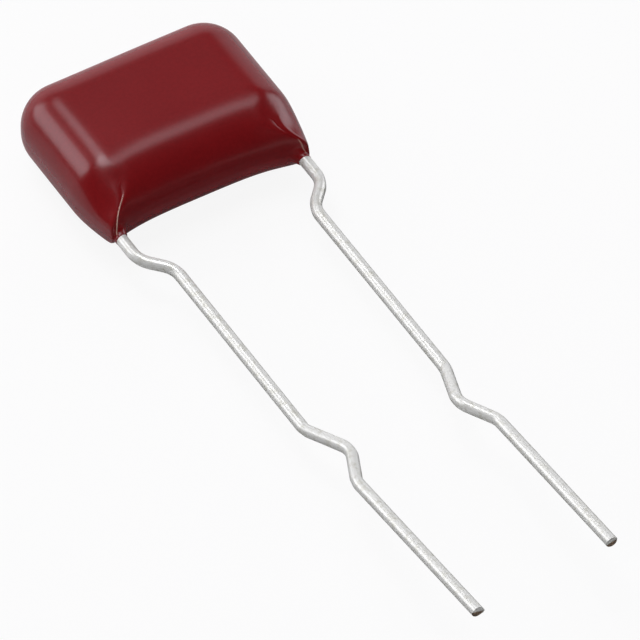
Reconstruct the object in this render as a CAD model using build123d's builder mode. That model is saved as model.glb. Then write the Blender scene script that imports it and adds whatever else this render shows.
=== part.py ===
from build123d import *
import os

os.makedirs("parts", exist_ok=True)

# A dipped film capacitor, lying on its flat back with its two leads towards -Y.
# X runs from the left lead to the right one and Z through the thickness.
# The origin is the middle of the flat back, and all lengths are in millimetres.

# The flattened roll of metallised film and its sprayed metal ends
element_height = 7.0
element_thickness = 3.1
mandrel_slit_width = 3.6
mandrel_slit_gap = 0.12
spray_thickness = 0.45
spray_edge_chamfer = 0.12

# The wires and their flat welded feet
wire_diameter = 0.6
lead_pitch_at_body = 10.0
lead_height = 1.9
foot_width = 0.84
foot_thickness = 0.38
foot_length = 3.6
foot_taper_length = 0.9
foot_start_above_arch = 0.9
weld_depth = 0.06

# The bends of each lead, from the body outwards
lead_pitch_straight = 7.6
lead_pitch_at_kinks = 5.75
lead_pitch_at_ends = 7.5
shoulder_run = 1.75
jog_run = 1.3
straight_run = 11.9
kink_in_run = 2.65
kink_in_rise = 0.64
kink_out_run = 2.05
kink_out_rise = 0.24
left_end_run = 10.7
right_end_run = 10.15
end_slope = 0.118
bend_radius = 1.5
shear_angle = 12.0

# The dipped coating, as thick as it stands over what it covers
coat_on_faces = 0.7
coat_over_leads = 0.6
coat_on_top = 0.9
coat_over_arch = 0.65
arch_rise = 0.75
nose_overhang = 0.2
shoulder_drop = 2.6
edge_land = 0.2
corner_allowance = 0.05
collar_length = 0.22
collar_root = 0.4
collar_lip = 0.06
collar_swell = 0.25

# The outside of the body, worked out from what it covers
body_width = lead_pitch_at_body + wire_diameter + 2 * coat_over_leads
body_thickness = element_thickness + 2 * coat_on_faces
body_height = arch_rise + coat_over_arch + element_height + coat_on_top
body_top = body_height / 2
body_foot = -body_height / 2
arch_top = body_foot + arch_rise
edge_round = body_thickness / 2 - edge_land
top_corner_round = edge_round + corner_allowance

# Where the element stands in it
element_middle_y = arch_top + coat_over_arch + element_height / 2
element_middle_z = body_thickness / 2
spray_face = lead_pitch_at_body / 2 - foot_thickness / 2 + weld_depth
winding_length = 2 * (spray_face - spray_thickness)
foot_start = arch_top + foot_start_above_arch

# The ends of the collar, where the coating thins out onto the wire
lip_radius = wire_diameter / 2 + collar_lip
root_radius = lip_radius + collar_swell


def make_lead(side, end_run):
    """One tinned wire: a foot pressed flat, the round wire with its bends, and a sheared end.

    side is -1 for the left lead and 1 for the right one, and end_run is how far along -Y
    the last straight stretch runs.
    """
    at_body = side * lead_pitch_at_body / 2
    at_straight = side * lead_pitch_straight / 2
    jog_start = body_foot - shoulder_run
    jog_end = jog_start - jog_run
    kink_start = jog_end - straight_run
    kink_tip = Vector(
        side * lead_pitch_at_kinks / 2, kink_start - kink_in_run, lead_height + kink_in_rise
    )
    kink_end = Vector(at_straight, kink_tip.Y - kink_out_run, kink_tip.Z + kink_out_rise)
    lead_end = Vector(
        side * lead_pitch_at_ends / 2, kink_end.Y - end_run, kink_end.Z + end_slope * end_run
    )
    route = [
        (at_body, foot_start, lead_height),
        (at_body, jog_start, lead_height),
        (at_straight, jog_end, lead_height),
        (at_straight, kink_start, lead_height),
        kink_tip,
        kink_end,
        lead_end,
    ]
    round_end = Plane(origin=route[0], x_dir=(1, 0, 0), z_dir=(0, 1, 0))
    end_plane = Plane(origin=lead_end, x_dir=(1, 0, 0), z_dir=lead_end - kink_end)
    with BuildPart() as lead:
        with BuildLine():
            FilletPolyline(*route, radius=bend_radius)
        with BuildSketch(round_end):
            Circle(wire_diameter / 2)
        sweep()
        split(bisect_by=end_plane.rotated((shear_angle, 0, 0)), keep=Keep.BOTTOM)
        with BuildSketch(round_end):
            Circle(wire_diameter / 2)
        with BuildSketch(round_end.offset(foot_taper_length)) as pressed:
            Ellipse(foot_thickness / 2, foot_width / 2)
        loft()
        extrude(pressed.sketch, amount=foot_length)
    return lead.part


lead_left = make_lead(-1, left_end_run)
lead_right = make_lead(1, right_end_run)
lead_left.label = "lead_left"
lead_right.label = "lead_right"

# The film winding, one flattened roll along X with the slit its mandrel left
winding_end = Plane.YZ.offset(-winding_length / 2)
with BuildSketch(winding_end) as element_outline:
    with Locations((element_middle_y, element_middle_z)):
        SlotOverall(element_height, element_thickness)
with BuildPart() as film_winding:
    extrude(element_outline.sketch, amount=winding_length)
    with BuildSketch(winding_end):
        with Locations((element_middle_y, element_middle_z)):
            SlotOverall(mandrel_slit_width, mandrel_slit_gap)
    extrude(amount=winding_length, mode=Mode.SUBTRACT)
film_winding.part.label = "film_winding"


def make_end_spray(side, lead):
    """The metal sprayed on one end of the winding, with the groove of its welded lead."""
    with BuildPart() as end_spray:
        with BuildSketch(Plane.YZ.offset(side * winding_length / 2)):
            with Locations((element_middle_y, element_middle_z)):
                SlotOverall(element_height, element_thickness)
        extrude(amount=side * spray_thickness)
        outer_face = faces().sort_by(Axis.X)[-1 if side > 0 else 0]
        chamfer(outer_face.edges(), length=spray_edge_chamfer)
        add(lead, mode=Mode.SUBTRACT)
    return end_spray.part


end_spray_left = make_end_spray(-1, lead_left)
end_spray_right = make_end_spray(1, lead_right)
end_spray_left.label = "end_spray_left"
end_spray_right.label = "end_spray_right"

# The outline's round stretches: the shoulders run down in an arc to the lead exits,
# and one shallow arch joins the exits between the leads
nose_x = lead_pitch_at_body / 2 + nose_overhang
shoulder_in = body_width / 2 - nose_x
shoulder_radius = (shoulder_in**2 + shoulder_drop**2) / (2 * shoulder_in)
shoulder_x = body_width / 2 - shoulder_radius
shoulder_y = body_foot + shoulder_drop
arch_radius = (nose_x**2 + arch_rise**2) / (2 * arch_rise)
arch_middle_y = arch_top - arch_radius
corner_x = body_width / 2 - top_corner_round
corner_y = body_top - top_corner_round
blank_foot = shoulder_y - shoulder_radius

# The coating: a pillow with fully round edges, cut to the arch by a ring whose
# inner edges are as round, so that the two meet in the crease at each lead exit
with BuildPart() as coating:
    with BuildSketch():
        with BuildLine():
            Line((-corner_x, body_top), (corner_x, body_top))
            CenterArc((corner_x, corner_y), top_corner_round, 90, -90)
            Line((body_width / 2, corner_y), (body_width / 2, shoulder_y))
            CenterArc((shoulder_x, shoulder_y), shoulder_radius, 0, -90)
            Line((shoulder_x, blank_foot), (-shoulder_x, blank_foot))
            CenterArc((-shoulder_x, shoulder_y), shoulder_radius, 270, -90)
            Line((-body_width / 2, shoulder_y), (-body_width / 2, corner_y))
            CenterArc((-corner_x, corner_y), top_corner_round, 180, -90)
        make_face()
    extrude(amount=body_thickness)
    fillet(faces().filter_by(Axis.Z).edges(), radius=edge_round)
    with BuildSketch(Plane.YZ) as ring_section:
        with Locations((arch_top, 0)):
            Rectangle(2 * body_height, body_thickness, align=(Align.MIN, Align.MIN))
        fillet(vertices().group_by(Axis.X)[0], radius=edge_round)
    revolve(axis=Axis((0, arch_middle_y, 0), (0, 0, 1)), mode=Mode.INTERSECT)
    for side in (-1, 1):
        exit_plane = Plane(
            origin=(side * lead_pitch_at_body / 2, body_foot, lead_height),
            x_dir=(1, 0, 0),
            z_dir=(0, 0, 1),
        )
        with BuildSketch(exit_plane):
            with BuildLine():
                Line((0, collar_root), (0, -collar_length))
                lip = Line((0, -collar_length), (lip_radius, -collar_length))
                TangentArc(lip @ 1, (root_radius, collar_root), tangent=(0, 1))
                Line((root_radius, collar_root), (0, collar_root))
            make_face()
        revolve(axis=Axis(exit_plane.origin, (0, 1, 0)))
    extrude(element_outline.sketch, amount=winding_length, mode=Mode.SUBTRACT)
    for inner_piece in (end_spray_left, end_spray_right, lead_left, lead_right):
        add(inner_piece, mode=Mode.SUBTRACT)
coating.part.label = "coating"

for piece in (
    coating.part,
    film_winding.part,
    end_spray_left,
    end_spray_right,
    lead_left,
    lead_right,
):
    export_step(piece, f"parts/{piece.label}.step")
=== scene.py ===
import bpy
import numpy as np
from bpy.props import FloatProperty, FloatVectorProperty, PointerProperty
from bpy.types import NodeSocket, Operator, Panel, PropertyGroup
from mathutils import Matrix, Vector


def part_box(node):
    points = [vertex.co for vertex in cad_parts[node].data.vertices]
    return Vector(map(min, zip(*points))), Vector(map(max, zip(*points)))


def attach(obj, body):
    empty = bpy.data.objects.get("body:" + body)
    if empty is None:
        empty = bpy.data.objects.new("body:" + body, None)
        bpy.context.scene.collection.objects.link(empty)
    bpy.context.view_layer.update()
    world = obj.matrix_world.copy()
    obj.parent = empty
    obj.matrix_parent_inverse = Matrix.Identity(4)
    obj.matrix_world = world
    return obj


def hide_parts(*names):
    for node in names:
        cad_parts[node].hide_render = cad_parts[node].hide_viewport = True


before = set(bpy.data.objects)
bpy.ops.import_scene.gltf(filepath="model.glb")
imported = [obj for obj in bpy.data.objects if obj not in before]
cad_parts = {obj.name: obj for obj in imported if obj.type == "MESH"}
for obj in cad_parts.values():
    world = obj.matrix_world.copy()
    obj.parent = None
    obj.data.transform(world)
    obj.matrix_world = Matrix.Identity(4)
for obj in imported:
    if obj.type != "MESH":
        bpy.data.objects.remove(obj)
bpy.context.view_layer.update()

bl_info = {
    "name": "Dipped film capacitor",
    "version": (1, 0, 0),
    "blender": (4, 5, 0),
    "location": "3D View > Sidebar > Capacitor",
    "description": "Gives a packed film capacitor its coating, its leads, its finishes and a studio",
    "category": "Object",
}

# The part lies on its flat back with its leads towards -Y. Lengths are in metres where no unit is given.
MM = 0.001
COATING_LOW, COATING_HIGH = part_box("coating")

# Faces that meet at more than this show a sharp edge
SHARP_ANGLE = np.radians(50)


def linear(srgb_hex):
    """An sRGB colour written as six hex digits, turned to the linear values that shaders use."""
    parts = np.array([int(srgb_hex[i : i + 2], 16) for i in (0, 2, 4)]) / 255
    return tuple(np.where(parts <= 0.04045, parts / 12.92, ((parts + 0.055) / 1.055) ** 2.4))


def length(name, description, millimetres):
    """A length property, written in millimetres and shown by Blender in its own unit."""
    return FloatProperty(
        name=name, description=description, default=millimetres * MM, unit="LENGTH", precision=6
    )


def number(name, description, default):
    """A property that is a plain number."""
    return FloatProperty(name=name, description=description, default=default)


def angle(name, description, degrees):
    """An angle property, written in degrees and kept in radians."""
    return FloatProperty(name=name, description=description, default=np.radians(degrees), subtype="ANGLE")


def colour(name, description, srgb_hex):
    """A colour property whose default is written in sRGB hex."""
    return FloatVectorProperty(
        name=name, description=description, default=linear(srgb_hex), subtype="COLOR", min=0, max=1
    )


class CoatingSizes(PropertyGroup):
    """The form of the dipped coating, past what its CAD box gives."""

    edge_round: length("Edge round", "Radius of the edges all round the body", 2.05)
    corner_round: length("Corner round", "Radius of the two far corners in the outline", 2.1)
    arch_rise: length("Arch rise", "How far the arch between the leads goes up into the body", 0.75)
    arch_power: number("Arch power", "2 makes the arch a plain curve, and more flattens its middle", 3.5)
    nose_overhang: length("Nose overhang", "How far each nose runs out past the lead's axis", 0.36)
    shoulder_drop: length("Shoulder drop", "Height of the round shoulder over each lead exit", 3.1)
    shoulder_power: number("Shoulder power", "1 makes the shoulder straight, and more curves it", 1.6)
    collar_length: length("Collar length", "How far the coating climbs down the wire", 0.22)
    collar_wall: length("Collar wall", "Thickness of the coating where it ends on the wire", 0.015)
    collar_taper: number("Collar taper", "How fast the collar widens from its end into the body", 0.45)
    meniscus: length("Meniscus", "Width over which the body flows into the collar", 0.35)
    crease_out: length("Crease start", "How far outside the lead's axis the crease starts", 0.16)
    crease_run: length("Crease run", "How far back, and as far inwards, the crease runs", 0.98)
    right_crease: number("Right crease", "Length of the right crease as a share of the left one", 0.35)
    crease_height: length("Crease height", "How far the crease stands up as a thin ridge", 0.03)
    crease_width: length("Crease width", "Half the width of that ridge", 0.02)
    nose_reach: length("Nose reach", "Reach of the edge's round in from the outline at the noses", 4.0)
    arch_reach: length("Arch reach", "How far in from the arch its edges' round reaches", 2.8)
    crease_power: number("Crease power", "How sharply shoulder and arch meet at the exits", 40)
    corner_power: number("Corner power", "How sharply they meet at the corner of the upper face", 3)
    ridge_bias: number("Ridge bias", "How far the ridge over each nose leans in between the leads", 0.13)
    crown: length("Crown", "How much lower the upper face is at its edges than in its middle", 0.1)
    nose_lift: length("Nose lift", "How far the underside rises towards the lead exits", 0.08)
    ripple: length("Ripple", "Depth of the slow unevenness that dipping leaves", 0.012)


class LeadSizes(PropertyGroup):
    """The route of each wire and the marks of its forming tools."""

    wire: length("Wire diameter", "Diameter of the tinned wire", 0.6)
    height: length("Height", "Height of the wires over the flat back at the body", 1.9)
    pitch_at_body: length("Pitch at the body", "Distance between the wires at the body", 10)
    pitch_straight: length("Straight pitch", "Distance between the long straight stretches", 7.6)
    pitch_at_kinks: length("Pitch at the kinks", "Distance between the innermost bends", 5.75)
    pitch_at_ends: length("Pitch at the ends", "Distance between the cut ends", 7.5)
    shoulder_run: length("Shoulder run", "Stretch from the body to the first bend", 1.75)
    jog_run: length("Jog run", "Length of the sideways jog", 1.3)
    straight_run: length("Straight run", "Stretch from the jog to the kink", 11.9)
    kink_in_run: length("Kink in run", "Length of the kink's inward leg", 2.65)
    kink_in_rise: length("Kink in rise", "How far the inward leg rises", 0.64)
    kink_out_run: length("Kink out run", "Length of the kink's outward leg", 2.05)
    kink_out_rise: length("Kink out rise", "How far the outward leg rises", 0.24)
    left_end_run: length("Left end run", "Length of the left lead past its kink", 10.7)
    right_end_run: length("Right end run", "Length of the right lead past its kink", 10.15)
    end_slope: number("End slope", "Rise of the last stretch for its run", 0.118)
    bend_radius: length("Bend radius", "Radius of every bend, on the wire's axis", 1.5)
    bend_flat: number("Bend flattening", "Share of the diameter lost in a bend", 0.06)
    shear_angle: angle("Shear angle", "Tilt of the sheared end", -3)
    shear_step: length("Shear step", "Step between the sheared and the torn part of the cut", 0.07)
    cut_back: length("Cut back", "How far the cut's longest side stays short of the lead's end", 0.05)
    burr: length("Burr", "How far the burr stands out of the wire at the cut", 0.06)
    foot_width: length("Foot width", "Width of the flat welded foot", 0.84)
    foot_thickness: length("Foot thickness", "Thickness of the flat welded foot", 0.38)
    foot_length: length("Foot length", "Length of the flat part of the foot", 3.6)
    foot_taper: length("Foot taper", "Length over which the round wire turns into the foot", 0.9)
    foot_start: length("Foot start", "Height of the foot's start over the arch's top", 0.9)


class FinishColours(PropertyGroup):
    """The colours that a user would change."""

    epoxy: colour("Epoxy", "Dark red pigment of the dipped coating", "780E12")
    # Painted highlight: a pale colour laid along the crease ridge over each lead exit, standing for its
    # glint
    crease_glint: colour("Crease glint", "The thin ridge of coating over each lead exit", "F0C8B4")
    tin: colour("Tin", "Bright tinned wire", "ECEEE7")
    tin_dull: colour("Dull tin", "Tin rubbed dull by the forming tools", "D8D9CD")
    copper: colour("Copper", "Copper skin showing in the cut", "A08468")
    steel_core: colour("Steel core", "Steel core showing in the cut", "6A6258")
    film: colour("Film", "Metallised film seen on edge", "B9BCC2")
    zinc: colour("Zinc", "Sprayed zinc", "8E8F90")
    floor: colour("Floor", "Plain pale floor", "F6F6F5")


class StudioSettings(PropertyGroup):
    """The camera's place and the softboxes."""

    azimuth: angle("Azimuth", "Camera's turn from -Y towards +X", -30.769)
    elevation: angle("Elevation", "Camera's height angle", 47.119)
    distance: length("Distance", "Camera to the point that it looks at", 600)
    view_width: length("View width", "Width of the frame at the point that the camera looks at", 30.1)
    target: FloatVectorProperty(
        name="Target",
        description="The point that the camera looks at",
        default=(2.175 * MM, -10.957 * MM, -1.924 * MM),
        subtype="TRANSLATION",
        unit="LENGTH",
    )
    lamp_distance: length("Lamp distance", "Softboxes to the body", 320)
    ambient: number("Ambient", "Light of the studio's walls, where 1 is white", 0.03)


class CapacitorSettings(PropertyGroup):
    """Everything that the panel shows."""

    coating: PointerProperty(type=CoatingSizes)
    leads: PointerProperty(type=LeadSizes)
    finish: PointerProperty(type=FinishColours)
    studio: PointerProperty(type=StudioSettings)


def closed_surface(name, points, first_pole, last_pole, along, around):
    """A closed mesh from a grid of points whose columns go round and meet, with a pole at each end.

    Row i and column j are vertex i * columns + j. A quad joins each point to its neighbours in the
    next row and column, and a fan of triangles joins the first and last row to their poles.
    along and around give the two UV coordinates, and around has one value more than there are
    columns, so that the map doesn't fold back at the seam.
    """
    rows, columns = points.shape[:2]
    i, j = np.meshgrid(np.arange(rows - 1), np.arange(columns), indexing="ij")
    row = np.stack([i, i, i + 1, i + 1], -1).reshape(-1, 4)
    column = np.stack([j, j + 1, j + 1, j], -1).reshape(-1, 4)
    quads = row * columns + column % columns
    j = np.arange(columns)
    next_j = (j + 1) % columns
    first_fan = np.stack([np.full(columns, rows * columns), next_j, j], -1)
    last_row = (rows - 1) * columns
    last_fan = np.stack([np.full(columns, rows * columns + 1), last_row + j, last_row + next_j], -1)
    vertices = np.concatenate([points.reshape(-1, 3), [first_pole], [last_pole]])
    triangles = np.concatenate([quads[:, :3], quads[:, [0, 2, 3]], first_fan, last_fan])
    a, b, c = vertices[triangles].transpose(1, 0, 2)
    outward = np.einsum("ij,ij->i", a, np.cross(b, c)).sum() > 0
    turn = slice(None) if outward else slice(None, None, -1)
    mesh = bpy.data.meshes.new(name)
    faces = quads[:, turn].tolist() + first_fan[:, turn].tolist() + last_fan[:, turn].tolist()
    mesh.from_pydata(vertices.tolist(), [], faces)
    quad_uv = np.stack([along[row], around[column]], -1)[:, turn]
    before, after = around[:-1], around[1:]
    middle = (before + after) / 2
    first_uv = np.stack([np.full((columns, 3), along[0]), np.stack([middle, after, before], -1)], -1)
    last_uv = np.stack([np.full((columns, 3), along[-1]), np.stack([middle, before, after], -1)], -1)
    uv = np.concatenate([part.reshape(-1) for part in (quad_uv, first_uv[:, turn], last_uv[:, turn])])
    mesh.uv_layers.new(name="surface").data.foreach_set("uv", uv)
    mesh.polygons.foreach_set("use_smooth", np.ones(len(mesh.polygons), bool))
    mesh.set_sharp_from_angle(angle=SHARP_ANGLE)
    mesh.update()
    piece = bpy.data.objects.new(name, mesh)
    bpy.context.scene.collection.objects.link(piece)
    return piece


def point_value(piece, name, values):
    """One number for each vertex, which a material reads by this name."""
    piece.data.attributes.new(name, "FLOAT", "POINT").data.foreach_set("value", values)


def smooth_step(low, high, value):
    """0 up to low, 1 from high on, and the cubic 3t2 - 2t3 between them."""
    t = np.clip((value - low) / (high - low), 0, 1)
    return t * t * (3 - 2 * t)


def smooth_max(a, b, width):
    """The larger of two fields, rounded by a cubic where they are within width of each other."""
    overlap = np.maximum(1 - np.abs(a - b) / width, 0)
    return np.maximum(a, b) + overlap**3 * width / 6


class CoatingForm:
    """The dipped body as a field of depth: below 0 inside the epoxy, 0 on its skin, above 0 outside."""

    # How far from the lead exits the wide rounds of the noses are full, and how far they are gone
    nose_full = 0.5 * MM
    nose_gone = 2.9 * MM
    # The loop inside the body that the rays start from, the way it widens for the flats, and the
    # share of the way to a lead exit that it is pulled within this reach
    loop_inset = 1.55 * MM
    flat_spread = 0.5 * MM
    pull_share = 0.68
    pull_reach = 3.2 * MM
    # The search along each ray
    ray_step = 0.06 * MM
    halvings = 18

    def __init__(self, sizes, leads):
        self.sizes = sizes
        self.half_width = COATING_HIGH.x
        self.top = COATING_HIGH.y
        self.foot = COATING_LOW.y + sizes.collar_length
        self.middle_z = (COATING_LOW.z + COATING_HIGH.z) / 2
        self.half_thickness = (COATING_HIGH.z - COATING_LOW.z) / 2
        self.exit_x = leads.pitch_at_body / 2
        self.exit_z = leads.height
        self.wire_radius = leads.wire / 2
        self.nose_x = self.exit_x + sizes.nose_overhang
        self.shoulder_in = self.half_width - self.nose_x
        self.shoulder_y = self.foot + sizes.shoulder_drop
        # Arcs close to the shoulders and the arch, for the loop that the rays start from
        self.shoulder_radius = (self.shoulder_in**2 + sizes.shoulder_drop**2) / (2 * self.shoulder_in)
        self.shoulder_x = self.half_width - self.shoulder_radius
        self.arch_radius = (self.nose_x**2 + sizes.arch_rise**2) / (2 * sizes.arch_rise)
        self.arch_y = self.foot + sizes.arch_rise - self.arch_radius
        self.corner_x = self.half_width - sizes.corner_round
        self.corner_y = self.top - sizes.corner_round

    def outline_depth(self, x, y):
        """How far inside the outer outline a point lies.

        It is the lesser of the depth under the far corners' arcs and the depth behind the side. Down
        the shoulder the side falls back by shoulder_in times a power of the share of the drop, and
        the level depth behind it is foreshortened by the slope of that curve.
        """
        far = np.hypot(np.maximum(abs(x) - self.corner_x, 0), np.maximum(y - self.corner_y, 0))
        share = np.maximum(self.shoulder_y - y, 0) / self.sizes.shoulder_drop
        power = self.sizes.shoulder_power
        level = self.half_width - self.shoulder_in * share**power - abs(x)
        slope = self.shoulder_in / self.sizes.shoulder_drop * power * share ** (power - 1)
        return np.minimum(self.sizes.corner_round - far, level / np.hypot(1, slope))

    def arch_depth(self, x, y):
        """How far above the arch a point lies.

        The arch rises by arch_rise times 1 less the arch power of the share of the way to a nose,
        and the upright depth above it is foreshortened by the slope of that curve.
        """
        share = abs(x) / self.nose_x
        power = self.sizes.arch_power
        upright = y - self.foot - self.sizes.arch_rise * (1 - share**power)
        slope = self.sizes.arch_rise * power * share ** (power - 1) / self.nose_x
        return upright / np.hypot(1, slope)

    def on_crease(self, x, y, z):
        """1 along the thin crease over each lead exit, falling to 0 at its sides and at its ends. It raises
        the ridge there and places the ridge's painted highlight.

        Seen from above it runs back and inwards from the exit, and curves as the power 1.2 does.
        The right one is shorter and fainter by the same share.
        """
        sizes = self.sizes
        back = (y - self.foot) / sizes.crease_run
        line = self.exit_x + sizes.crease_out - sizes.crease_run * np.clip(back, 0, 2) ** 1.2
        across = 1 - smooth_step(0.3, 1, abs(abs(x) - line) / sizes.crease_width / 2)
        run = np.where(x < 0, 1, sizes.right_crease)
        ends = smooth_step(-0.1, 0.05, back) * (1 - smooth_step(0.7, 1.05, back / run))
        return across * ends * run * (z > self.exit_z)

    def shortfalls(self, x, y, z):
        """How far a point's depths inside the outline and over the arch fall short of the reach of
        their edges' rounds, from 0 to 1. The lower edges' rounds are circular. The upper ones reach
        further in along the arch, and along the outline more and more down the shoulders. At the
        noses the bias favours the outline halfway up its round, so that the ridge runs inwards."""
        sizes = self.sizes
        upper = z > self.middle_z
        down = smooth_step(-self.foot - self.nose_gone, -self.foot - self.nose_full, -y)
        outer_reach = sizes.edge_round + (sizes.nose_reach - sizes.edge_round) * down * upper
        arch_reach = np.where(upper, sizes.arch_reach, sizes.edge_round)
        outer = np.maximum(outer_reach - self.outline_depth(x, y), 0) / outer_reach
        arch = np.maximum(arch_reach - self.arch_depth(x, y), 0) / arch_reach
        bias = 4 * sizes.ridge_bias * down * upper * smooth_step(0.55, 0.9, abs(x) / self.nose_x)
        outer = outer + bias * outer * np.maximum(1 - outer, 0)
        arch = arch - bias * arch * np.maximum(1 - arch, 0)
        return outer, arch

    def field(self, x, y, z):
        """The slab within the outer outline, cut by the slab above the arch, blended into the collars.

        The upper face sinks by the crown towards its edges, the underside rises by the lift towards
        the lead exits, and slow sine ripples of a few millimetres stand for the flow of the dip.
        """
        sizes = self.sizes
        span_x = x / self.half_width
        span_y = y / self.top
        crown = sizes.crown * (1 - (1 - span_x**2) * (1 - span_y**2))
        to_exits = smooth_step(0.25, 0.9, abs(span_x)) * smooth_step(0.35, 0.95, -span_y)
        sunk = np.where(z > self.middle_z, crown, sizes.nose_lift * to_exits)
        ripple = np.sin(x / MM * 1.1 + 0.6) * np.sin(y / MM * 0.9 + 1.9)
        ripple = ripple + np.sin(x / MM * 0.5 - y / MM * 0.7)
        over = abs(z - self.middle_z) + sunk + sizes.ripple * (1 + ripple / 2)
        over = over - (self.half_thickness - sizes.edge_round)
        outer, arch = self.shortfalls(x, y, z)
        soft = 1 - smooth_step(0.45, 0.97, np.maximum(outer, arch))
        root = 1 / sizes.crease_power + (1 / sizes.corner_power - 1 / sizes.crease_power) * soft
        inward = (outer ** (1 / root) + arch ** (1 / root)) ** root
        body = (np.hypot(inward, np.maximum(over, 0) / sizes.edge_round) - 1) * sizes.edge_round
        body = body - sizes.crease_height * self.on_crease(x, y, z)
        inner_end = self.foot + sizes.arch_rise
        outer_side = smooth_step(-self.wire_radius, self.wire_radius, abs(x) - self.exit_x)
        lip = self.foot - sizes.collar_length * (0.8 + 0.2 * outer_side)
        widening = sizes.collar_taper * np.clip(y - lip, 0, 2 * sizes.collar_length) * (1 - outer_side)
        cone = self.wire_radius + sizes.collar_wall + widening
        wall = np.hypot(abs(x) - self.exit_x, z - self.exit_z) - cone
        collar = np.maximum(wall, np.maximum(lip - y, y - inner_end))
        width = sizes.collar_wall + sizes.meniscus * smooth_step(0, sizes.meniscus, y - lip)
        return -smooth_max(-body, -collar, width)

    def nose_point(self, depth):
        """Where the arch's arc and the shoulder's arc cross, both moved inwards by this depth."""
        to_arch = self.arch_radius + depth
        to_shoulder = self.shoulder_radius - depth
        arch = np.array([0.0, self.arch_y])
        shoulder = np.array([self.shoulder_x, self.shoulder_y])
        apart = np.linalg.norm(shoulder - arch)
        unit = (shoulder - arch) / apart
        first = (apart**2 + to_arch**2 - to_shoulder**2) / (2 * apart)
        side = np.sqrt(to_arch**2 - first**2)
        return arch + first * unit + side * np.array([unit[1], -unit[0]])

    def half_loop(self, inset):
        """The right half of a loop that lies inset within the outline, and the way out from it.

        It runs from the middle of the arch over the nose, the shoulder, the side and the far corner
        to the middle of the top. Where the outline is an arc its heading is the arc's radius, and
        at the nose and the far corner the point stands still while the heading turns.
        """
        nose = self.nose_point(inset)
        arch_turn = np.arctan2(nose[0], nose[1] - self.arch_y)
        shoulder_turn = np.arctan2(nose[1] - self.shoulder_y, nose[0] - self.shoulder_x)
        turn = np.linspace(0, arch_turn, 50)[:-1]
        over_arch = np.stack([np.sin(turn), np.cos(turn)], -1)
        arch = (over_arch * (self.arch_radius + inset) + [0, self.arch_y], -over_arch)
        arch_heading = np.arctan2(-np.cos(arch_turn), -np.sin(arch_turn))
        turn = np.linspace(arch_heading, shoulder_turn, 121)
        fan = (np.tile(nose, (len(turn), 1)), np.stack([np.cos(turn), np.sin(turn)], -1))
        turn = np.linspace(shoulder_turn, 0, 16)[1:]
        out = np.stack([np.cos(turn), np.sin(turn)], -1)
        shoulder = (out * (self.shoulder_radius - inset) + [self.shoulder_x, self.shoulder_y], out)
        far = np.array([self.half_width - inset, self.top - inset])
        y = np.linspace(self.shoulder_y, far[1], 22)[1:]
        side = (np.stack([np.full_like(y, far[0]), y], -1), np.tile([1.0, 0.0], (len(y), 1)))
        turn = np.linspace(0, np.pi / 2, 26)[1:]
        corner = (np.tile(far, (len(turn), 1)), np.stack([np.cos(turn), np.sin(turn)], -1))
        x = np.linspace(far[0], 0, 20)[1:]
        top = (np.stack([x, np.full_like(x, far[1])], -1), np.tile([0.0, 1.0], (len(x), 1)))
        pieces = [arch, fan, shoulder, side, corner, top]
        return np.concatenate([p[0] for p in pieces]), np.concatenate([p[1] for p in pieces])

    def skin(self, origin, direction):
        """The first point along each ray where the field turns positive: steps out along all the
        rays until each has left the body, then halves the last step until it is under a nanometre."""
        step = self.ray_step
        reach = np.zeros(origin.shape[:-1])
        inside = np.ones(reach.shape, bool)
        while inside.any():
            reach = np.where(inside, reach + step, reach)
            point = origin + reach[..., None] * direction
            inside = inside & (self.field(*np.moveaxis(point, -1, 0)) < 0)
        low, high = reach - step, reach
        for _ in range(self.halvings):
            middle = (low + high) / 2
            point = origin + middle[..., None] * direction
            outside = self.field(*np.moveaxis(point, -1, 0)) > 0
            low = np.where(outside, low, middle)
            high = np.where(outside, middle, high)
        return origin + high[..., None] * direction

    def grid(self):
        """The whole skin as rows and columns of points, and its two poles.

        Columns go once round a loop inside the body. From each point of the loop a fan of rays turns
        from straight down over level to straight up, and where it meets the skin is a point of the
        grid. Further rows of upright rays close the two flats, on loops that shrink to the middle.
        Near a lead exit the level rays start nearer to the exit, so that they can reach the collar.
        """
        loop, heading = self.half_loop(self.loop_inset)
        nose = self.nose_point(self.loop_inset)
        bisector = self.nose_point(0) - nose
        near = 1 - smooth_step(0, self.pull_reach, np.linalg.norm(loop - nose, axis=-1))
        pull = near[:, None] * bisector * self.pull_share
        mirror = np.array([-1.0, 1.0])
        halves = (loop, heading, pull)
        loop, heading, pull = (np.concatenate([h, (h * mirror)[-2:0:-1]]) for h in halves)
        near = np.concatenate([near, near[-2:0:-1]])
        tilt = np.radians(np.linspace(-90, 90, 91))[:, None, None]
        level = np.cos(tilt) ** 2
        start = loop + self.flat_spread * (1 - level) * heading + level * pull
        start_z = self.middle_z + level[..., 0] * near * (self.exit_z - self.middle_z)
        origin = np.concatenate([start, start_z[..., None]], -1)
        direction = np.concatenate([np.cos(tilt) * heading, np.sin(tilt) * np.ones((1, len(loop), 1))], -1)
        fan = self.skin(origin, direction)
        share = np.linspace(0, 1, 24)[1:-1, None, None]
        rim = start[0]
        middle = np.array([0.0, (self.top + self.foot) / 2])
        flat_xy = rim * (1 - share) + middle * share
        flat = np.concatenate([flat_xy, np.full(flat_xy.shape[:-1] + (1,), self.middle_z)], -1)
        pole = np.append(middle, self.middle_z)
        up = np.array([0.0, 0.0, 1.0])
        lower = self.skin(flat, -up)[::-1]
        upper = self.skin(flat, up)
        return np.concatenate([lower, fan, upper]), self.skin(pole, -up), self.skin(pole, up)


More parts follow.
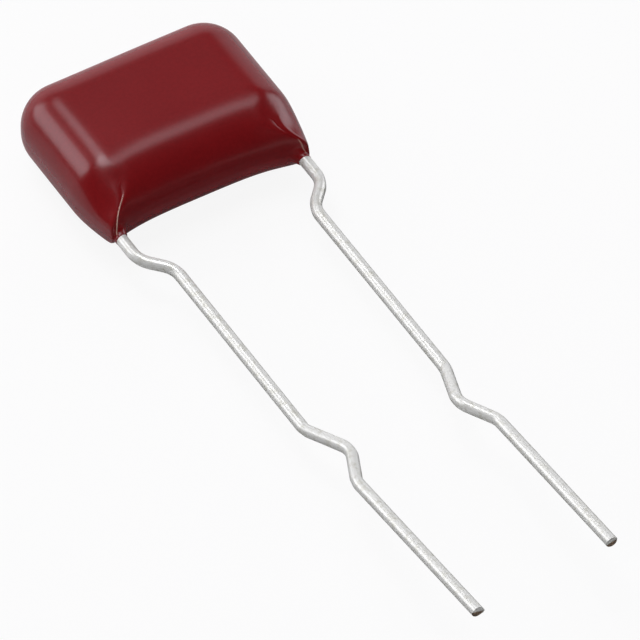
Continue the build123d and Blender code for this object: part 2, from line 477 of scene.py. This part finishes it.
class WireForm:
    """One tinned wire: its axis as straight runs joined by arcs, and its section along the way."""

    # Where round the cut the burr stands on the left and the right lead, how far round it
    # spreads in radians, and the share of its height that it runs out along the axis
    burr_degrees = {-1: 200, 1: 20}
    burr_spread = 0.45
    burr_out = 0.6
    # The last stretch and its rows, which slide to the cut, and the rings on to the cut's middle
    end_stretch = 0.3 * MM
    end_rows = 10
    ring_shares = (0.97, 0.92, 0.8, 0.65, 0.55, 0.45, 0.35, 0.2)

    def __init__(self, sizes, side, end_run, arch_top, foot_y):
        self.sizes = sizes
        self.side = side
        self.flat_start = arch_top + sizes.foot_start + sizes.foot_taper
        at_body = side * sizes.pitch_at_body / 2
        at_straight = side * sizes.pitch_straight / 2
        jog_start = foot_y - sizes.shoulder_run
        jog_end = jog_start - sizes.jog_run
        kink_start = jog_end - sizes.straight_run
        kink_tip_y = kink_start - sizes.kink_in_run
        kink_tip_z = sizes.height + sizes.kink_in_rise
        kink_end_y = kink_tip_y - sizes.kink_out_run
        kink_end_z = kink_tip_z + sizes.kink_out_rise
        end_z = kink_end_z + sizes.end_slope * end_run
        self.corners = np.array(
            [
                (at_body, self.flat_start + sizes.foot_length, sizes.height),
                (at_body, jog_start, sizes.height),
                (at_straight, jog_end, sizes.height),
                (at_straight, kink_start, sizes.height),
                (side * sizes.pitch_at_kinks / 2, kink_tip_y, kink_tip_z),
                (at_straight, kink_end_y, kink_end_z),
                (side * sizes.pitch_at_ends / 2, kink_end_y - end_run, end_z),
            ]
        )

    def axis(self):
        """Points, unit directions and bending of the axis, one run and one arc after the other.

        An arc leaves each leg of its corner at radius times the tangent of half the turn, and its
        points are the start plus radius times (sin a) along the first leg and (1 - cos a) across it.
        The bending is the way to the arc's centre, scaled from 0 at its ends to 1 in its middle.
        """
        radius = self.sizes.bend_radius
        legs = np.diff(self.corners, axis=0)
        legs = legs / np.linalg.norm(legs, axis=1)[:, None]
        run_start = self.corners[0]
        parts = []
        for corner, before, after in zip(self.corners[1:-1], legs[:-1], legs[1:]):
            turn = np.arccos(np.clip(before @ after, -1, 1))
            arc_start = corner - before * radius * np.tan(turn / 2)
            across = after - before * (before @ after)
            across = across / np.linalg.norm(across)
            parts.append(self.straight(run_start, arc_start))
            a = np.linspace(0, turn, 25)[:-1, None]
            points = arc_start + radius * (np.sin(a) * before + (1 - np.cos(a)) * across)
            directions = np.cos(a) * before + np.sin(a) * across
            inward = np.cos(a) * across - np.sin(a) * before
            parts.append((points, directions, inward * np.sin(np.pi * a / turn) ** 2))
            run_start = corner + after * radius * np.tan(turn / 2)
        end_start = self.corners[-1] - legs[-1] * self.end_stretch
        parts.append(self.straight(run_start, end_start))
        parts.append(self.straight(end_start, self.corners[-1], self.end_rows - 1, True))
        return [np.concatenate(arrays) for arrays in zip(*parts)]

    @staticmethod
    def straight(start, end, count=0, whole=False):
        """Evenly spaced points of one straight run, a quarter of a millimetre apart unless counted."""
        run = end - start
        count = count or max(2, int(np.linalg.norm(run) / (0.25 * MM)))
        share = np.linspace(0, 1, count + 1)[: None if whole else -1, None]
        points = start + share * run
        directions = np.tile(run / np.linalg.norm(run), (len(points), 1))
        return points, directions, np.zeros_like(points)

    def grid(self, columns):
        """The wire's skin as rows along the axis and columns round it, with its cut end.

        A point is the axis plus the section's radius times (cos a) sideways and (sin a) upwards. In
        the foot the two radii are those of the pressed ellipse. In a bend the section loses the
        flattening along the way to the arc's centre and gains half of it across. The last rows
        slide along the axis to the slanted, stepped cut, which goes on to the pole in rings.
        """
        sizes = self.sizes
        axis, forward, bending = self.axis()
        sideways = np.cross(forward, [0.0, 0.0, 1.0])
        sideways = sideways / np.linalg.norm(sideways, axis=1)[:, None]
        upwards = np.cross(sideways, forward)
        a = np.linspace(0, 2 * np.pi, columns + 1)[:-1]
        pressed = smooth_step(self.flat_start - sizes.foot_taper, self.flat_start, axis[:, 1])[:, None]
        radius = sizes.wire / 2
        wide = radius * (1 - pressed) + sizes.foot_thickness / 2 * pressed
        tall = radius * (1 - pressed) + sizes.foot_width / 2 * pressed
        section = (wide * np.cos(a))[..., None] * sideways[:, None]
        section = section + (tall * np.sin(a))[..., None] * upwards[:, None]
        amount = np.linalg.norm(bending, axis=1)[:, None, None]
        unit = bending[:, None] / np.maximum(amount, 1e-9)
        along_bend = (section * unit).sum(-1, keepdims=True) * unit
        section = section * (1 + amount * sizes.bend_flat / 2) - along_bend * amount * sizes.bend_flat * 1.5
        skin = axis[:, None] + section
        from_burr = np.angle(np.exp(1j * (a - np.radians(self.burr_degrees[self.side]))))
        at_burr = np.exp(-((from_burr / self.burr_spread) ** 2))
        rows = len(axis)
        to_end = np.zeros(rows)
        to_end[-self.end_rows :] = np.linspace(0, 1, self.end_rows)
        lip = (to_end**6)[:, None] * at_burr * sizes.burr
        skin = skin + lip[..., None] * section / radius
        cut = self.cut(np.cos(a), np.sin(a), at_burr)[:, None]
        skin = skin + to_end[:, None, None] * cut * forward[:, None]
        ring_shares = np.array(self.ring_shares)
        rings = []
        for share in ring_shares:
            ring = axis[-1] + share * section[-1] * (1 + sizes.burr / radius * at_burr[:, None])
            depth = self.cut(share * np.cos(a), share * np.sin(a), at_burr * (share > 0.95))
            rings.append(ring + depth[:, None] * forward[-1])
        points = np.concatenate([skin, np.stack(rings)])
        first_pole = axis[0]
        last_pole = axis[-1] + self.cut(0.0, 0.0, 0.0) * forward[-1]
        travelled = np.concatenate([[0], np.cumsum(np.linalg.norm(np.diff(axis, axis=0), axis=1))])
        along = np.concatenate([travelled, travelled[-1] + radius * np.linspace(0.03, 0.8, len(rings))])
        around = np.linspace(0, 2 * np.pi * radius, columns + 1)
        bare = np.zeros(points.shape[:2])
        bare[rows:] = self.torn(ring_shares[:, None] * np.cos(a), ring_shares[:, None] * np.sin(a))
        return points, first_pole, last_pole, along, around, bare

    def torn(self, across, up):
        """1 in the lower part of the cut, where the wire tore, and 0 where the blade drew tin over it."""
        return 1 - smooth_step(-0.1, 0.15, up + 0.25 * self.side * across)

    def cut(self, across, up, at_burr):
        """How far along the axis the cut lies at a place in the section, in shares of the radius.

        It slants by the shear angle, steps back by the shear step where the wire tore instead of
        being cut, and runs out a little further at the burr.
        """
        slant = -np.tan(self.sizes.shear_angle) * self.sizes.wire / 2 * up
        step = self.sizes.shear_step * self.torn(across, up)
        return slant - step - self.sizes.cut_back + at_burr * self.sizes.burr * self.burr_out


def new_material(name):
    """An empty node material and its tree."""
    material = bpy.data.materials.new(name)
    material.use_nodes = True
    material.node_tree.nodes.clear()
    return material, material.node_tree


def add(tree, kind, sockets=None, **settings):
    """One shader node of this kind, with its settings, and each named socket set or linked."""
    made = tree.nodes.new("ShaderNode" + kind)
    for name, value in settings.items():
        setattr(made, name, value)
    for name, value in (sockets or {}).items():
        if isinstance(value, NodeSocket):
            tree.links.new(value, made.inputs[name])
        else:
            made.inputs[name].default_value = value
    return made


def ramp(made, stops):
    """Gives a Color Ramp node its stops, as pairs of place and linear colour."""
    elements = made.color_ramp.elements
    while len(elements) < len(stops):
        elements.new(1)
    for element, (place, value) in zip(elements, stops):
        element.position = place
        element.color = (*value, 1)
    return made.outputs["Color"]


def shaded(colour_value, amount):
    """The same colour, lighter or darker by this factor."""
    return tuple(min(c * amount, 1) for c in colour_value)


def dipped_epoxy(colours):
    """Filled epoxy, dipped as a melt and cured: a smooth glossy skin with a faint orange peel about
    0.7 mm wide and fine pigment mottling of 0.15 mm. Where two flows meet over a lead exit the coat
    stands up in a thin ridge, along which a pale painted highlight is laid."""
    material, tree = new_material("dipped_epoxy")
    place = add(tree, "TexCoord").outputs["Object"]
    per_metre = 1 / MM
    mottle = add(tree, "TexNoise", {"Vector": place, "Scale": per_metre / 0.15, "Detail": 1})
    cloud = add(tree, "TexNoise", {"Vector": place, "Scale": per_metre / 3.5, "Detail": 2})
    base = tuple(colours.epoxy)
    fine = ramp(
        add(tree, "ValToRGB", {"Fac": mottle.outputs["Fac"]}),
        [(0.35, shaded(base, 0.9)), (0.65, shaded(base, 1.1))],
    )
    broad = ramp(
        add(tree, "ValToRGB", {"Fac": cloud.outputs["Fac"]}),
        [(0.3, shaded(base, 0.93)), (0.7, shaded(base, 1.07))],
    )
    pigment = add(tree, "Mix", {"Factor": 0.5, "A": fine, "B": broad}, data_type="RGBA")
    # Painted highlight: the crease mask mixes a pale colour into the pigment along each ridge over a lead
    # exit
    crease = add(tree, "Attribute", attribute_name="crease").outputs["Fac"]
    thin = add(tree, "Math", {0: crease, 1: 0.9}, operation="MULTIPLY").outputs[0]
    skin_colour = add(
        tree,
        "Mix",
        {"Factor": thin, "A": pigment.outputs["Result"], "B": (*colours.crease_glint, 1)},
        data_type="RGBA",
    ).outputs["Result"]
    peel = add(tree, "TexNoise", {"Vector": place, "Scale": per_metre / 0.7, "Detail": 1})
    bump = add(tree, "Bump", {"Height": peel.outputs["Fac"], "Strength": 0.25, "Distance": 0.01 * MM})
    shader = add(
        tree,
        "BsdfPrincipled",
        {"Base Color": skin_colour, "Roughness": 0.26, "IOR": 1.54, "Normal": bump.outputs["Normal"]},
    )
    add(tree, "OutputMaterial", {"Surface": shader.outputs["BSDF"]})
    return material


def tinned_wire(colours):
    """Copper-clad steel wire, hot-dip tinned, drawn and bent: satin grey with drawn streaks along
    it about 0.04 mm wide and 1.5 mm long, dull patches of 0.3 mm where tools rubbed it, and the
    copper skin and dark steel core bare in the cut end."""
    material, tree = new_material("tinned_wire")
    surface = add(tree, "UVMap", uv_map="surface").outputs["UV"]
    per_metre = 1 / MM
    stretched = add(
        tree, "Mapping", {"Vector": surface, "Scale": (per_metre / 1.5, per_metre / 0.04, 1)}
    ).outputs["Vector"]
    streaks = add(tree, "TexNoise", {"Vector": stretched, "Scale": 1, "Detail": 3, "Roughness": 0.6})
    place = add(tree, "TexCoord").outputs["Object"]
    patches = add(
        tree, "TexNoise", {"Vector": place, "Scale": per_metre / 0.3, "Detail": 3, "Roughness": 0.6}
    )
    grain = add(tree, "TexNoise", {"Vector": place, "Scale": per_metre / 0.06, "Detail": 2})
    rubbed = add(
        tree, "MapRange", {"Value": patches.outputs["Fac"], "From Min": 0.48, "From Max": 0.68}
    ).outputs["Result"]
    tin = add(
        tree,
        "Mix",
        {"Factor": rubbed, "A": (*colours.tin, 1), "B": (*colours.tin_dull, 1)},
        data_type="RGBA",
    ).outputs["Result"]
    streaked = ramp(
        add(tree, "ValToRGB", {"Fac": streaks.outputs["Fac"]}),
        [(0.3, (0.94, 0.94, 0.94)), (0.6, (1, 1, 1))],
    )
    drawn = add(
        tree, "Mix", {"Factor": 0.6, "A": tin, "B": streaked}, data_type="RGBA", blend_type="MULTIPLY"
    ).outputs["Result"]
    core = ramp(
        add(tree, "ValToRGB", {"Fac": grain.outputs["Fac"]}),
        [(0.4, tuple(colours.steel_core)), (0.62, tuple(colours.copper))],
    )
    cut = add(tree, "Attribute", attribute_name="cut").outputs["Fac"]
    mixed = add(tree, "Mix", {"Factor": cut, "A": drawn, "B": core}, data_type="RGBA")
    height = add(
        tree, "Math", {0: streaks.outputs["Fac"], 1: grain.outputs["Fac"]}, operation="ADD"
    ).outputs[0]
    bump = add(tree, "Bump", {"Height": height, "Strength": 0.2, "Distance": 0.003 * MM})
    satin = add(
        tree, "MapRange", {"Value": patches.outputs["Fac"], "To Min": 0.3, "To Max": 0.38}
    ).outputs["Result"]
    shader = add(
        tree,
        "BsdfPrincipled",
        {
            "Base Color": mixed.outputs["Result"],
            "Metallic": 0.3,
            "Roughness": satin,
            "Normal": bump.outputs["Normal"],
        },
    )
    add(tree, "OutputMaterial", {"Surface": shader.outputs["BSDF"]})
    return material


def wound_film(colours, centre, half_straight):
    """Metallised polyester film wound flat: satin, silver-grey, its turns seen on edge as rings round
    the slit. The real turns are a few micrometres thick and are drawn 0.12 mm apart, to show."""
    material, tree = new_material("metallised_film")
    place = add(tree, "TexCoord").outputs["Object"]
    centred = add(tree, "Mapping", {"Vector": place, "Location": (0, -centre.y, -centre.z)})
    parts = add(tree, "SeparateXYZ", {"Vector": centred.outputs["Vector"]})
    reach = add(tree, "Math", {0: parts.outputs["Y"]}, operation="ABSOLUTE").outputs[0]
    past = add(tree, "Math", {0: reach, 1: half_straight}, operation="SUBTRACT").outputs[0]
    past = add(tree, "Math", {0: past, 1: 0.0}, operation="MAXIMUM").outputs[0]
    flat = add(tree, "CombineXYZ", {"X": past, "Y": parts.outputs["Z"]}).outputs["Vector"]
    depth = add(tree, "VectorMath", {0: flat}, operation="LENGTH").outputs["Value"]
    per_turn = 2 * np.pi / (0.12 * MM)
    turns = add(tree, "Math", {0: depth, 1: per_turn}, operation="MULTIPLY").outputs[0]
    ring = add(tree, "Math", {0: turns}, operation="SINE").outputs[0]
    wrinkle = add(tree, "TexNoise", {"Vector": place, "Scale": 1 / (0.8 * MM), "Detail": 3})
    film = tuple(colours.film)
    tone = add(tree, "MapRange", {"Value": ring, "From Min": -1.0, "To Min": 0.25, "To Max": 0.75})
    mixed = add(
        tree, "Math", {0: tone.outputs["Result"], 1: wrinkle.outputs["Fac"]}, operation="MULTIPLY"
    )
    silver = ramp(
        add(tree, "ValToRGB", {"Fac": mixed.outputs[0]}),
        [(0.1, shaded(film, 0.55)), (0.4, shaded(film, 1.15))],
    )
    bump = add(tree, "Bump", {"Height": ring, "Strength": 0.3, "Distance": 0.01 * MM})
    shader = add(
        tree,
        "BsdfPrincipled",
        {"Base Color": silver, "Metallic": 0.6, "Roughness": 0.38, "Normal": bump.outputs["Normal"]},
    )
    add(tree, "OutputMaterial", {"Surface": shader.outputs["BSDF"]})
    return material


def sprayed_zinc(colours):
    """Zinc sprayed as molten drops: matte grey metal, rough with splats about 0.12 mm across."""
    material, tree = new_material("sprayed_zinc")
    place = add(tree, "TexCoord").outputs["Object"]
    splats = add(tree, "TexVoronoi", {"Vector": place, "Scale": 1 / (0.12 * MM)})
    grit = add(tree, "TexNoise", {"Vector": place, "Scale": 1 / (0.05 * MM), "Detail": 4})
    height = add(
        tree, "Math", {0: splats.outputs["Distance"], 1: grit.outputs["Fac"]}, operation="ADD"
    ).outputs[0]
    zinc = tuple(colours.zinc)
    grey = ramp(
        add(tree, "ValToRGB", {"Fac": height}), [(0.5, shaded(zinc, 0.6)), (1.0, shaded(zinc, 1.3))]
    )
    bump = add(tree, "Bump", {"Height": height, "Strength": 0.8, "Distance": 0.03 * MM})
    shader = add(
        tree,
        "BsdfPrincipled",
        {"Base Color": grey, "Metallic": 0.9, "Roughness": 0.62, "Normal": bump.outputs["Normal"]},
    )
    add(tree, "OutputMaterial", {"Surface": shader.outputs["BSDF"]})
    return material


class CAPACITOR_OT_coating(Operator):
    """Makes the dipped epoxy coating, which stands for the CAD node coating."""

    bl_idname = "capacitor.coating"
    bl_label = "Dipped coating"

    def execute(self, context):
        settings = context.scene.capacitor
        form = CoatingForm(settings.coating, settings.leads)
        points, low_pole, high_pole = form.grid()
        rows, columns = points.shape[:2]
        along = np.linspace(0, 1, rows)
        around = np.linspace(0, 1, columns + 1)
        piece = closed_surface("dipped_coating", points, low_pole, high_pole, along, around)
        every = np.concatenate([points.reshape(-1, 3), [low_pole], [high_pole]])
        # The crease mask, which places the painted highlight along each ridge
        point_value(piece, "crease", form.on_crease(*every.T))
        piece.data.materials.append(dipped_epoxy(settings.finish))
        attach(piece, "root")
        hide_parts("coating")
        return {"FINISHED"}


class CAPACITOR_OT_leads(Operator):
    """Makes the two bent tinned wires, which stand for the CAD nodes lead_left and lead_right."""

    bl_idname = "capacitor.leads"
    bl_label = "Tinned leads"

    def execute(self, context):
        settings = context.scene.capacitor
        sizes = settings.leads
        material = tinned_wire(settings.finish)
        foot_y = COATING_LOW.y + settings.coating.collar_length
        arch_top = foot_y + settings.coating.arch_rise
        ends = {"lead_left": (-1, sizes.left_end_run), "lead_right": (1, sizes.right_end_run)}
        for node, (side, end_run) in ends.items():
            form = WireForm(sizes, side, end_run, arch_top, foot_y)
            points, first_pole, last_pole, along, around, cut = form.grid(64)
            piece = closed_surface(f"tinned_{node}", points, first_pole, last_pole, along, around)
            point_value(piece, "cut", np.append(cut.reshape(-1), [0, form.torn(0.0, 0.0)]))
            piece.data.materials.append(material)
            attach(piece, "root")
            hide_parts(node)
        return {"FINISHED"}


class CAPACITOR_OT_element(Operator):
    """Gives the wound film and its sprayed ends, which stay CAD nodes, their finishes."""

    bl_idname = "capacitor.element"
    bl_label = "Film element"

    def execute(self, context):
        colours = context.scene.capacitor.finish
        low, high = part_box("film_winding")
        centre = (low + high) / 2
        half_straight = (high.y - low.y - (high.z - low.z)) / 2
        film = wound_film(colours, centre, half_straight)
        zinc = sprayed_zinc(colours)
        finishes = {"film_winding": film, "end_spray_left": zinc, "end_spray_right": zinc}
        for node, material in finishes.items():
            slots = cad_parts[node].material_slots
            if not slots:
                raise RuntimeError(f"{node} has no material slot")
            for slot in slots:
                slot.material = material
        return {"FINISHED"}


def way_to(azimuth, elevation):
    """The unit direction at an azimuth from +Y towards +X and an elevation, in degrees."""
    azimuth, elevation = np.radians(azimuth), np.radians(elevation)
    level = np.cos(elevation)
    return Vector((np.sin(azimuth) * level, np.cos(azimuth) * level, np.sin(elevation)))


def softbox(name, studio, middle, towards, length, width, brightness, seen=True):
    """One rectangular lamp that faces the body, with its length laid from middle towards another way.

    Both ways are pairs of azimuth and elevation. Brightness is that of the lamp's face, where 1 is
    white, and its power is 4 times brightness times area.
    """
    lamp = bpy.data.lights.new(name, "AREA")
    lamp.shape = "RECTANGLE"
    lamp.size = length
    lamp.size_y = width
    lamp.energy = 4 * length * width * brightness
    lamp.color = (0.96, 0.94, 1.0)
    away = way_to(*middle)
    across = away.cross(way_to(*towards)).normalized()
    turned = Matrix((across.cross(away), across, away)).transposed()
    piece = bpy.data.objects.new(name, lamp)
    piece.matrix_world = Matrix.Translation(away * studio.lamp_distance) @ turned.to_4x4()
    piece.visible_glossy = seen
    bpy.context.scene.collection.objects.link(piece)


class CAPACITOR_OT_stage(Operator):
    """Makes the pale floor, the softboxes, the studio's walls and the camera."""

    bl_idname = "capacitor.stage"
    bl_label = "Studio"

    def execute(self, context):
        settings = context.scene.capacitor
        studio = settings.studio
        self.make_floor(settings.finish)
        self.make_walls(context.scene, studio)
        softbox("overhead", studio, (-25, 77), (-8, 52), 0.16, 0.16, 3.7)
        softbox("overhead_north", studio, (-9, 60), (-9, 80), 0.1, 0.1, 2.5)
        softbox("overhead_east", studio, (70, 69), (-12, 52), 0.07, 0.1, 1.8)
        softbox("left_panel", studio, (-43, 25), (-60, 25), 0.2, 0.17, 2.3)
        softbox("right_panel", studio, (86, 17), (86, 60), 0.2, 0.12, 2.1)
        softbox("back_wall", studio, (20, 8), (60, 8), 0.6, 0.26, 0.5)
        softbox("key", studio, (15, 34), (40, 34), 0.22, 0.22, 2.1, seen=False)
        softbox("fill", studio, (-145, 36), (-115, 36), 0.3, 0.3, 0.93, seen=False)
        self.make_camera(context.scene, studio)
        return {"FINISHED"}

    def make_floor(self, colours):
        """A large square on which the part lies. The camera sees it nearly white, with its shadow.

        Reflections see it pale behind the part and dark in front of it: a painted shade, seen only in
        reflections, for the unlit table that the coating mirrors. Between painted_shade_up_to and pale_from
        along Y the two blend.
        """
        half = 1.5
        # dark is painted shade that reflections see in front of the part, pale is what they see behind it,
        # and plain is what other rays see
        painted_shade_up_to, pale_from = -6.5 * MM, -3 * MM
        dark, pale, plain = ((*shaded(colours.floor, tone), 1) for tone in (0.04, 0.6, 0.8))
        corners = np.array([(-half, -half, 0), (half, -half, 0), (half, half, 0), (-half, half, 0)])
        mesh = bpy.data.meshes.new("floor")
        mesh.from_pydata((corners - [0, 0, 0.02 * MM]).tolist(), [], [(0, 1, 2, 3)])
        floor = bpy.data.objects.new("floor", mesh)
        bpy.context.scene.collection.objects.link(floor)
        material, tree = new_material("pale_floor")
        path = add(tree, "LightPath")
        place = add(tree, "TexCoord").outputs["Object"]
        y = add(tree, "SeparateXYZ", {"Vector": place}).outputs["Y"]
        behind = add(
            tree,
            "MapRange",
            {"Value": y, "From Min": painted_shade_up_to, "From Max": pale_from},
            interpolation_type="SMOOTHSTEP",
        ).outputs["Result"]
        # Painted shade: glossy rays see the floor dark in front of the part and pale behind it
        reflected_with_painted_shade = add(
            tree, "Mix", {"Factor": behind, "A": dark, "B": pale}, data_type="RGBA"
        ).outputs["Result"]
        colour_seen = add(
            tree,
            "Mix",
            {"Factor": path.outputs["Is Glossy Ray"], "A": plain, "B": reflected_with_painted_shade},
            data_type="RGBA",
        )
        paint = add(tree, "BsdfDiffuse", {"Color": colour_seen.outputs["Result"]})
        white = add(tree, "Emission", {"Color": (1, 1, 1, 1), "Strength": 1.0})
        share = add(tree, "Math", {0: path.outputs["Is Camera Ray"], 1: 0.9}, operation="MULTIPLY")
        mixed = add(tree, "MixShader", {0: share.outputs[0], 1: paint.outputs[0], 2: white.outputs[0]})
        add(tree, "OutputMaterial", {"Surface": mixed.outputs[0]})
        mesh.materials.append(material)

    def make_walls(self, scene, studio):
        """White to the camera, and a dim even light to everything else."""
        world = bpy.data.worlds.new("studio_walls")
        world.use_nodes = True
        tree = world.node_tree
        tree.nodes.clear()
        path = add(tree, "LightPath")
        dim = add(tree, "Background", {"Color": (1, 1, 1, 1), "Strength": studio.ambient})
        white = add(tree, "Background", {"Color": (1, 1, 1, 1), "Strength": 1.0})
        mixed = add(
            tree, "MixShader", {0: path.outputs["Is Camera Ray"], 1: dim.outputs[0], 2: white.outputs[0]}
        )
        add(tree, "OutputWorld", {"Surface": mixed.outputs[0]})
        scene.world = world
        scene.view_settings.view_transform = "Standard"

    def make_camera(self, scene, studio):
        """A long lens at the photograph's viewing angle."""
        level = np.cos(studio.elevation)
        flat = (np.sin(studio.azimuth) * level, -np.cos(studio.azimuth) * level)
        back = Vector((*flat, np.sin(studio.elevation)))
        lens = bpy.data.cameras.new("camera")
        lens.lens = lens.sensor_width * studio.distance / studio.view_width
        lens.clip_start = studio.distance / 20
        lens.clip_end = studio.distance * 20
        camera = bpy.data.objects.new("camera", lens)
        camera.location = Vector(studio.target) + back * studio.distance
        camera.rotation_mode = "QUATERNION"
        camera.rotation_quaternion = back.to_track_quat("Z", "Y")
        scene.collection.objects.link(camera)
        scene.camera = camera


class CAPACITOR_PT_panel(Panel):
    """Lists the steps and their sizes in the 3D view's sidebar."""

    bl_idname = "CAPACITOR_PT_panel"
    bl_label = "Film capacitor"
    bl_space_type = "VIEW_3D"
    bl_region_type = "UI"
    bl_category = "Capacitor"

    def draw(self, context):
        settings = context.scene.capacitor
        for operator in STEPS:
            self.layout.operator(operator.bl_idname)
        for group in (settings.coating, settings.leads, settings.finish, settings.studio):
            box = self.layout.box()
            for name in group.bl_rna.properties.keys():
                if name not in ("rna_type", "name"):
                    box.prop(group, name)


STEPS = (CAPACITOR_OT_coating, CAPACITOR_OT_leads, CAPACITOR_OT_element, CAPACITOR_OT_stage)
GROUPS = (CoatingSizes, LeadSizes, FinishColours, StudioSettings, CapacitorSettings)
CLASSES = (*GROUPS, *STEPS, CAPACITOR_PT_panel)


def register():
    """Makes the settings, the operators and the panel known to Blender."""
    for made in CLASSES:
        bpy.utils.register_class(made)
    bpy.types.Scene.capacitor = PointerProperty(type=CapacitorSettings)


def unregister():
    """Takes them away again."""
    del bpy.types.Scene.capacitor
    for made in reversed(CLASSES):
        bpy.utils.unregister_class(made)


def main():
    register()
    bpy.ops.capacitor.coating()
    bpy.ops.capacitor.leads()
    bpy.ops.capacitor.element()
    bpy.ops.capacitor.stage()


if __name__ == "__main__":
    main()
